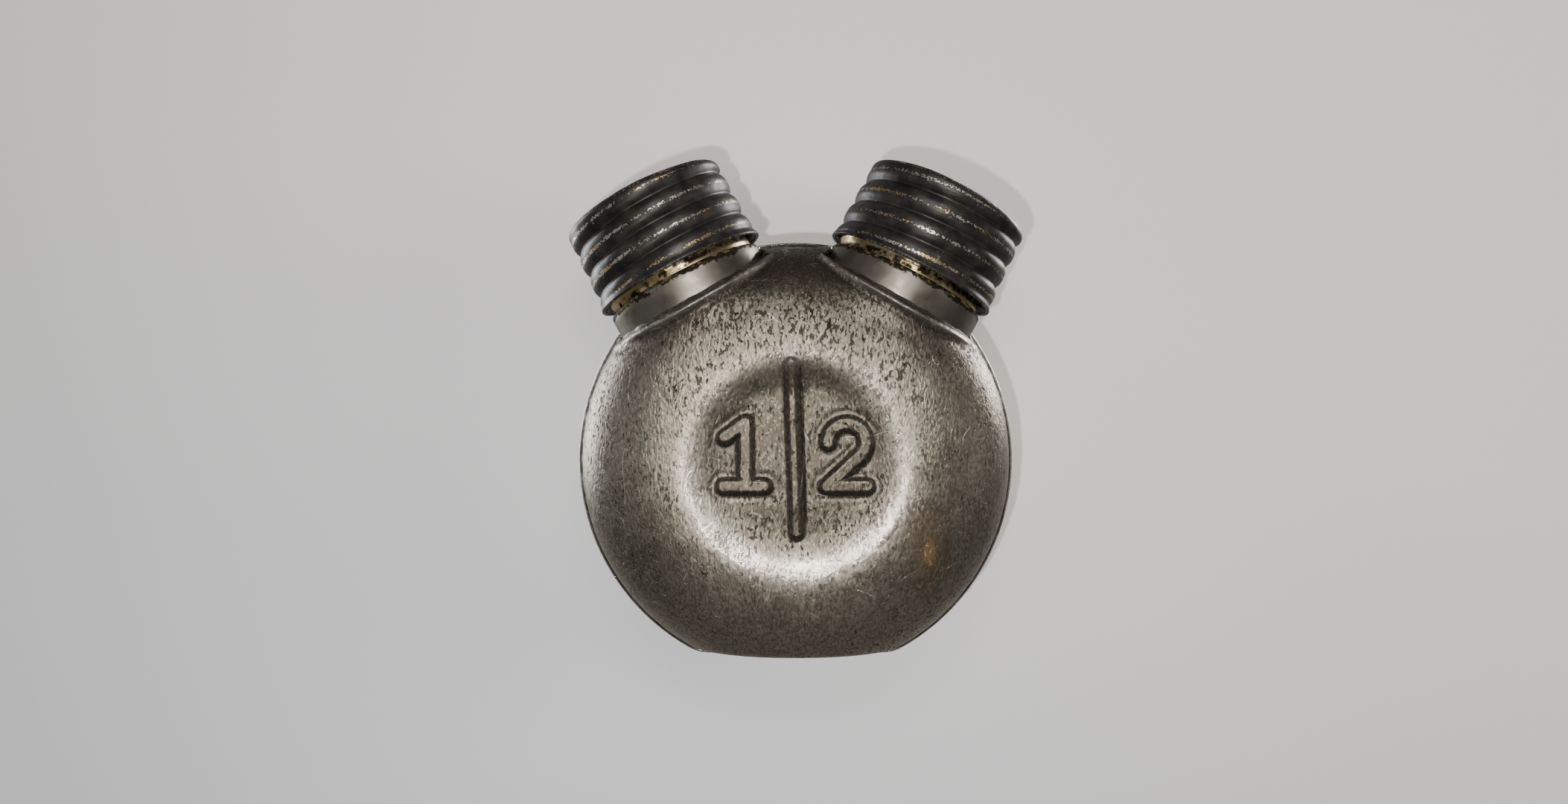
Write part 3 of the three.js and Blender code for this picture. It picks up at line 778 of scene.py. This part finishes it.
# ---------------------------------------------------------------- threads
def helix_skin(B, seg, K, s0, s1, rfun, edge=None):
    """Rows of a threaded wall that follow the helix. Returns the closed rings at both ends."""
    i = np.arange(seg)
    th = i * 2 * math.pi / seg
    start = GROOVE_AT - 60 * PITCH
    j0 = int(math.floor((s0 - start) / PITCH - 1)) * K - K
    j1 = int(math.ceil((s1 - start) / PITCH)) * K + K
    j = np.arange(j0, j1 + K + 1)
    S = start + (j[None, :] / K + i[:, None] / seg) * PITCH
    low, high = S <= s0, S >= s1
    Sc = np.clip(S, s0, s1)
    ph = (Sc - GROOVE_AT) / PITCH - i[:, None] / seg
    ph = ph - np.floor(ph)
    r = rfun(Sc, ph)
    x, y = r * np.cos(th)[:, None], r * np.sin(th)[:, None]
    idx = np.full(S.shape, -1, int)
    mid = ~(low | high)
    n_lo = B.add(np.stack([rfun(np.full(seg, s0), ph_at(s0, i, seg)) * np.cos(th), rfun(np.full(seg, s0), ph_at(s0, i, seg)) * np.sin(th), np.full(seg, s0)], 1),
                 thread=thread_att(np.full(seg, s0), ph_at(s0, i, seg)), edge=np.full(seg, 0.0 if edge is None else edge(s0)))
    n_hi = B.add(np.stack([rfun(np.full(seg, s1), ph_at(s1, i, seg)) * np.cos(th), rfun(np.full(seg, s1), ph_at(s1, i, seg)) * np.sin(th), np.full(seg, s1)], 1),
                 thread=thread_att(np.full(seg, s1), ph_at(s1, i, seg)), edge=np.full(seg, 0.0 if edge is None else edge(s1)))
    m = B.add(np.stack([x[mid], y[mid], Sc[mid]], 1), thread=thread_att(Sc[mid], ph[mid]),
              edge=np.zeros(int(mid.sum())) if edge is None else edge(Sc[mid]))
    idx[mid] = m
    idx = np.where(low, n_lo[:, None], idx)
    idx = np.where(high, n_hi[:, None], idx)
    J = len(j) - K - 1
    for a in range(seg):
        b = (a + 1) % seg
        sh = K if b == 0 else 0
        B.quads(idx[a, :J], idx[b, sh:J + sh], idx[b, sh + 1:J + sh + 1], idx[a, 1:J + 1])
    return n_lo, n_hi


def ph_at(s, i, seg):
    ph = (s - GROOVE_AT) / PITCH - i / seg
    return ph - np.floor(ph)


def thread_att(s, ph):
    return np.stack([np.cos(2 * math.pi * ph), np.sin(2 * math.pi * ph), np.asarray(s, float) / 12.0], 1)


def ring(B, seg, r, s, edge=0.0, phase=0.5):
    th = np.arange(seg) * 2 * math.pi / seg
    p = np.stack([r * np.cos(th), r * np.sin(th), np.full(seg, s)], 1)
    i = np.arange(seg)
    return B.add(p, thread=thread_att(np.full(seg, s), np.full(seg, phase)), edge=np.full(seg, edge))


SEG = 176
ROWS = 18
CAP_R, CAP_TAPER, CAP_GROOVE, CAP_WALL, CAP_TOP = 12.0, 0.035, 0.62, 0.5, 12.0


def cap_wall(s, ph, off=0.0):
    amp = smooth(0.55, 1.5, s) * (1 - smooth(10.3, 11.0, s))
    u = 2 * np.minimum(ph, 1 - ph)
    rib = (1 - u) ** 2.6
    flare = 0.22 * (1 - smooth(0.15, 1.0, s))
    return CAP_R - CAP_TAPER * s + flare - amp * CAP_GROOVE * rib - off


def neck_wall(s, ph):
    amp = smooth(-0.75, 0.3, s) * (1 - smooth(8.8, 9.7, s))
    u = 2 * np.minimum(ph, 1 - ph)
    return 10.4 + 0.55 * amp * smooth(0.12, 0.95, u)


def gasket_mesh(name, body, side):
    B = Build()
    prof = [(0.4, 9.92), (3, 9.92), (6, 9.93), (9.2, 9.93), (9.9, 9.96), (10.15, 10.08), (10.25, 10.3), (10.27, 10.7), (10.24, 11.1), (10.12, 11.3), (9.8, 11.38), (7, 11.4), (3, 11.4), (0.4, 11.4)]
    rows = [ring(B, 96, r, s) for r, s in prof]
    for lo, hi in zip(rows[:-1], rows[1:]):
        B.bridge(lo, hi)
    c0 = B.add([[0, 0, 9.92]], thread=np.zeros((1, 3)), edge=np.zeros(1))
    c1 = B.add([[0, 0, 11.4]], thread=np.zeros((1, 3)), edge=np.zeros(1))
    B.fan(rows[0], int(c0[0]))
    B.fan(rows[-1], int(c1[0]))
    place = spout_place(side)

    def put(v):
        v = v.copy()
        v[:, 2] += 0.05 * soft_noise(v, 5.0, 41) * smooth(9.0, 5.0, np.hypot(v[:, 0], v[:, 1]))
        return place(v)
    return B.make(name, M_LEATHER, body, [name], place=put)


def cap_mesh(name, body, side, seed):
    B = Build()

    def edge(s):
        return 0.0 * np.asarray(s, float)
    lo, hi = helix_skin(B, SEG, ROWS, 0.28, 11.0, cap_wall, edge)
    # rounded top edge and top
    r11 = CAP_R - CAP_TAPER * 11.0
    prev = hi
    for k in range(1, 9):
        t = k / 8 * math.pi / 2
        cur = ring(B, SEG, r11 - 0.95 * (1 - math.cos(t)), 11.0 + 0.95 * math.sin(t), 0.0 if k < 3 else 0.75, 0.0)
        B.bridge(prev, cur)
        prev = cur
    for r, s, e in ((10.1, 11.97, 0.45), (9.6, 11.98, 0.25), (8.6, 11.96, 0.15), (7.0, 11.93, 0.1), (5.0, 11.90, 0.1), (3.0, 11.88, 0.1), (1.2, 11.87, 0.1)):
        cur = ring(B, SEG, r, s, e, 0.0)
        B.bridge(prev, cur)
        prev = cur
    c = B.add([[0, 0, 11.87]], thread=np.array([[1.0, 0, 1]]), edge=np.zeros(1))
    B.fan(prev, int(c[0]))
    # rolled mouth
    prev = lo
    rl = float(cap_wall(np.array([0.28]), np.array([0.5]))[0])
    for dr, s, e in ((0.02, 0.16, 0.3), (-0.03, 0.06, 0.8), (-0.14, 0.0, 0.9), (-0.30, 0.0, 0.7), (-0.42, 0.06, 0.4), (-0.48, 0.18, 0.1), (-0.5, 0.3, 0.0)):
        cur = ring(B, SEG, rl + dr, s, e, 0.0)
        B.bridge(cur, prev)
        prev = cur

    def inner(s, ph):
        return cap_wall(s, ph, CAP_WALL)
    lo2, hi2 = helix_skin(B, SEG, max(8, ROWS // 2), 0.3, 10.9, inner, edge)
    for a, b in zip(prev.tolist(), lo2.tolist()):
        pass
    B.bridge(prev, lo2)
    ri = float(inner(np.array([10.9]), np.array([0.5]))[0])
    prev = hi2
    for r, s in ((ri - 0.1, 11.2), (ri - 0.35, 11.42), (ri - 0.8, 11.5), (8, 11.5), (4, 11.48), (1, 11.47)):
        cur = ring(B, SEG, r, s)
        B.bridge(prev, cur)
        prev = cur
    c = B.add([[0, 0, 11.47]], thread=np.zeros((1, 3)), edge=np.zeros(1))
    B.fan(prev, int(c[0]))
    place = spout_place(side)

    def put(v):
        v = v.copy()
        rad = np.hypot(v[:, 0], v[:, 1])
        bump = 1 + (0.035 * soft_noise(v, 9.0, seed) + 0.018 * soft_noise(v, 3.0, seed + 1)) / np.maximum(rad, 3)
        v[:, 0] *= bump
        v[:, 1] *= bump
        v[:, 2] += 0.05 * soft_noise(v, 10.0, seed + 2) * smooth(11.0, 12.0, v[:, 2])
        return place(v)
    return B.make(name, M_CAP, body, [name], place=put)


def neck_mesh(name, side):
    B = Build()
    lo, hi = helix_skin(B, SEG, max(8, ROWS - 4), -0.85, 9.75, neck_wall)
    prev = hi
    for r, s in ((10.3, 9.80), (10.1, 9.83), (9.95, 9.80), (9.87, 9.72), (9.85, 9.5), (9.85, 6.0), (9.85, 2.0), (9.85, -1.0), (9.85, -3.2), (9.95, -3.36), (10.2, -3.4), (10.36, -3.3), (10.4, -3.0), (10.4, -1.5)):
        cur = ring(B, SEG, r, s)
        B.bridge(prev, cur)
        prev = cur
    B.bridge(prev, lo)
    return B.make(name, M_BRASS, "bottle", [name], place=spout_place(side))


def collar_mesh(name, side, seed):
    B = Build()
    seg = 200
    R = COLLAR_R
    prof = [(R, -7.2), (R, -6.6)] + [(R, s) for s in np.linspace(-6.2, -2.2, 14)]
    for k in range(1, 9):
        t = k / 8 * math.pi / 2
        prof.append((R - 0.72 * (1 - math.cos(t)), -1.62 + 0.72 * math.sin(t)))
    prof += [(10.62, -0.92), (10.56, -1.0), (10.55, -1.4), (10.7, -1.7), (10.85, -2.1), (10.85, -4.5), (10.85, -7.1), (10.95, -7.2), (R - 0.1, -7.25), (R, -7.2)]
    th = np.arange(seg) * 2 * math.pi / seg
    rows = []
    for r, s in prof:
        p = np.stack([r * np.cos(th), r * np.sin(th), np.full(seg, s)], 1)
        rows.append(B.add(p, along=np.full(seg, s)))
    for lo, hi in zip(rows[:-1], rows[1:]):
        B.bridge(lo, hi)
    place = spout_place(side)

    def put(v):
        v = v.copy()
        rad = np.hypot(v[:, 0], v[:, 1])
        bump = 1 + (0.03 * soft_noise(v, 8.0, seed)) / np.maximum(rad, 3)
        v[:, 0] *= bump
        v[:, 1] *= bump
        return place(v)
    return B.make(name, M_TIN, "bottle", [name], place=put)


# ---------------------------------------------------------------- solder at the sleeve mouths
def foot_mesh(name, side, seed):
    o, ex, ey, ax = spout_axes(side)
    seg = 480
    th = np.arange(seg) * 2 * math.pi / seg
    nc = np.cos(th)[:, None] * ex + np.sin(th)[:, None] * ey

    def inside(s, r):
        p = o + nc * r + s[:, None] * ax
        return sleeve_coords(p[:, 0], p[:, 2] - ZC, side)[2]
    lo = np.full(seg, -9.5)
    hi = np.full(seg, 3.0)
    for _ in range(40):
        mid = (lo + hi) / 2
        f = inside(mid, COLLAR_R)
        hi = np.where(f < 0, mid, hi)
        lo = np.where(f < 0, lo, mid)
    s = (lo + hi) / 2
    for _ in range(4):
        s = (np.roll(s, 1) + s + np.roll(s, -1)) / 3
    base = o + nc * COLLAR_R + s[:, None] * ax
    w = 0.30 + 0.06 * soft_noise(base, 3.6, seed)
    w2 = 0.34 + 0.07 * soft_noise(base, 2.9, seed + 1)
    B = Build()
    rows = []
    sec = [(-0.40, 0.30), (-0.10, 0.36), (0.06, 0.28), (0.18, 0.17), (0.28, 0.08), (0.38, 0.02), (0.45, -0.05)]
    for a_, r_ in sec:
        along = (a_ * w2 / 0.34 if a_ > 0 else a_)
        out = r_ * (w / 0.30 if r_ > 0 else 1)
        rows.append(B.add(base + nc * np.reshape(out, (-1, 1)) * np.ones((seg, 1)) + np.reshape(along, (-1, 1)) * ax))
    for a_, b_ in zip(rows[:-1], rows[1:]):
        B.bridge(a_, b_)
    return B.make(name, M_SEAM, "bottle", [name])


for label, side in (("left", -1), ("right", 1)):
    k = 50 if side < 0 else 70
    collar_mesh(f"{label}_collar", side, k)
    foot_mesh(f"{label}_collar_solder", side, k + 3)
    neck_mesh(f"{label}_threaded_neck", side)
    gasket_mesh(f"{label}_cap_gasket", f"{label}_gasket", side)
    cap_mesh(f"{label}_cap", f"{label}_cap", side, k + 6)

# ---------------------------------------------------------------- paper behind the bottle
PAPER_Y = 13.0


def paper():
    m, nt, b, out = mat("paper")
    n = Net(nt)
    co = n.coords()
    x, y, z = n.xyz(co)
    # painted light: the paper glows by emission, brighter and warmer towards the upper right
    warm = n.range(n.math("ADD", n.math("MULTIPLY", x, 0.5), z), -0.03, 0.075, 0.0, 1.0, False)
    n.put(b.inputs["Base Color"], n.mix(warm, (0.84, 0.84, 0.84), (0.90, 0.86, 0.845)))
    n.put(b.inputs["Emission Color"], n.mix(warm, (0.325, 0.328, 0.324), (0.560, 0.495, 0.470)))
    b.inputs["Emission Strength"].default_value = 0.58
    b.inputs["Roughness"].default_value = 0.95
    b.inputs["Specular IOR Level"].default_value = 0.0
    h = n.math("ADD", n.noise(co, 900, 4), n.math("MULTIPLY", n.noise(co, 60, 3), 3.0))
    n.put(b.inputs["Normal"], n.bump(h, 0.12, 0.0002))
    clear = n.node("ShaderNodeBsdfTransparent")
    mixer = n.node("ShaderNodeMixShader")
    geo = n.node("ShaderNodeNewGeometry")
    nt.links.new(geo.outputs["Backfacing"], mixer.inputs[0])
    nt.links.new(b.outputs[0], mixer.inputs[1])
    nt.links.new(clear.outputs[0], mixer.inputs[2])
    nt.links.new(mixer.outputs[0], out.inputs[0])
    N = 60
    u = np.linspace(-900, 900, N)
    gx, gz = np.meshgrid(u, u)
    v = np.stack([gx.ravel(), np.full(N * N, PAPER_Y), gz.ravel() + 30], 1)
    faces = []
    for j in range(N - 1):
        for i in range(N - 1):
            a = j * N + i
            faces.append([a, a + 1, a + N + 1, a + N])   # faces -Y
    me = bpy.data.meshes.new("paper")
    me.from_pydata((v * MM).tolist(), [], faces)
    me.update()
    ob = bpy.data.objects.new("paper", me)
    bpy.context.scene.collection.objects.link(ob)
    me.materials.append(m)
    ob.visible_diffuse = False
    ob.visible_glossy = False
    ob.visible_transmission = False
    ob.visible_shadow = False
    return ob


paper()


# ---------------------------------------------------------------- light
def area(name, loc, aim, size, power, color, shape="RECTANGLE", size_y=None):
    d = bpy.data.lights.new(name, "AREA")
    d.energy = power
    d.color = color
    d.shape = shape
    d.size = size
    if size_y:
        d.size_y = size_y
    o = bpy.data.objects.new(name, d)
    bpy.context.scene.collection.objects.link(o)
    o.location = Vector(loc) * MM
    o.rotation_euler = (Vector(aim) * MM - o.location).to_track_quat("-Z", "Y").to_euler()
    return o


# lamps for the metal leave the paper alone, and lamps for the paper leave the metal alone
area("flash", (-19, -150, 19), (0, 0, 30), 7 * MM, 0.030, (1.0, 0.94, 0.86), "DISK").visible_diffuse = False
area("lamp", (4, -234, 92), (0, 0, 30), 46 * MM, 0.165, (1.0, 0.965, 0.905), "RECTANGLE", 26 * MM).visible_diffuse = False
area("ceiling_top", (10, -360, 255), (0, 0, 30), 240 * MM, 0.40, (1.0, 0.985, 0.96), "RECTANGLE", 110 * MM)
area("fill_left", (-420, -250, 40), (0, 0, 30), 220 * MM, 0.08, (0.92, 0.95, 1.0), "RECTANGLE", 300 * MM)
area("fill_right", (440, -240, 70), (0, 0, 30), 220 * MM, 0.08, (1.0, 0.97, 0.94), "RECTANGLE", 300 * MM)
area("back_right", (430, 330, 260), (0, 0, 30), 260 * MM, 2.6, (1.0, 0.98, 0.95), "RECTANGLE", 300 * MM)
area("back_left", (-470, 300, 120), (0, 0, 30), 260 * MM, 1.8, (0.96, 0.98, 1.0), "RECTANGLE", 300 * MM)
area("paper_key", (-19, -151, 17), (0, 0, 30), 5 * MM, 0.14, (0.93, 0.975, 1.0), "DISK").visible_glossy = False
area("window_right", (420, -200, 90), (0, 0, 30), 190 * MM, 0.70, (1.0, 0.97, 0.93), "RECTANGLE", 200 * MM).visible_glossy = False

world = bpy.data.worlds.new("room")
bpy.context.scene.world = world
world.use_nodes = True
wn = world.node_tree
wn.nodes.clear()
W = Net(wn)
tc = W.node("ShaderNodeTexCoord").outputs["Generated"]
wx, wy, wz = W.xyz(tc)
behind = W.range(wy, 0.15, 0.95)
room = W.mix(W.range(wz, -0.6, 0.9), (0.085, 0.081, 0.076), (0.105, 0.099, 0.092))
room = W.mix(W.math("MULTIPLY", behind, 0.9), room, (0.34, 0.33, 0.32))
front = W.range(wy, -0.80, -0.99)
room = W.mix(W.math("MULTIPLY", front, 0.8), room, (0.20, 0.19, 0.18))
path = W.node("ShaderNodeLightPath").outputs["Is Camera Ray"]
sky = W.mix(path, room, (0.42, 0.41, 0.40))
bg = W.node("ShaderNodeBackground")
W.put(bg.inputs["Color"], sky)
bg.inputs["Strength"].default_value = 1.0
wo = W.node("ShaderNodeOutputWorld")
wn.links.new(bg.outputs[0], wo.inputs[0])

# ---------------------------------------------------------------- camera
cd = bpy.data.cameras.new("camera")
cam = bpy.data.objects.new("camera", cd)
bpy.context.scene.collection.objects.link(cam)
bpy.context.scene.camera = cam
cam.location = Vector((-1.61, -146.0, 34.72)) * MM
cam.rotation_euler = (math.pi / 2, 0, 0)
cd.sensor_fit = "HORIZONTAL"
cd.sensor_width = 36.0
cd.lens = 23.96
cd.clip_start = 0.005
cd.clip_end = 20.0
cd.dof.use_dof = False
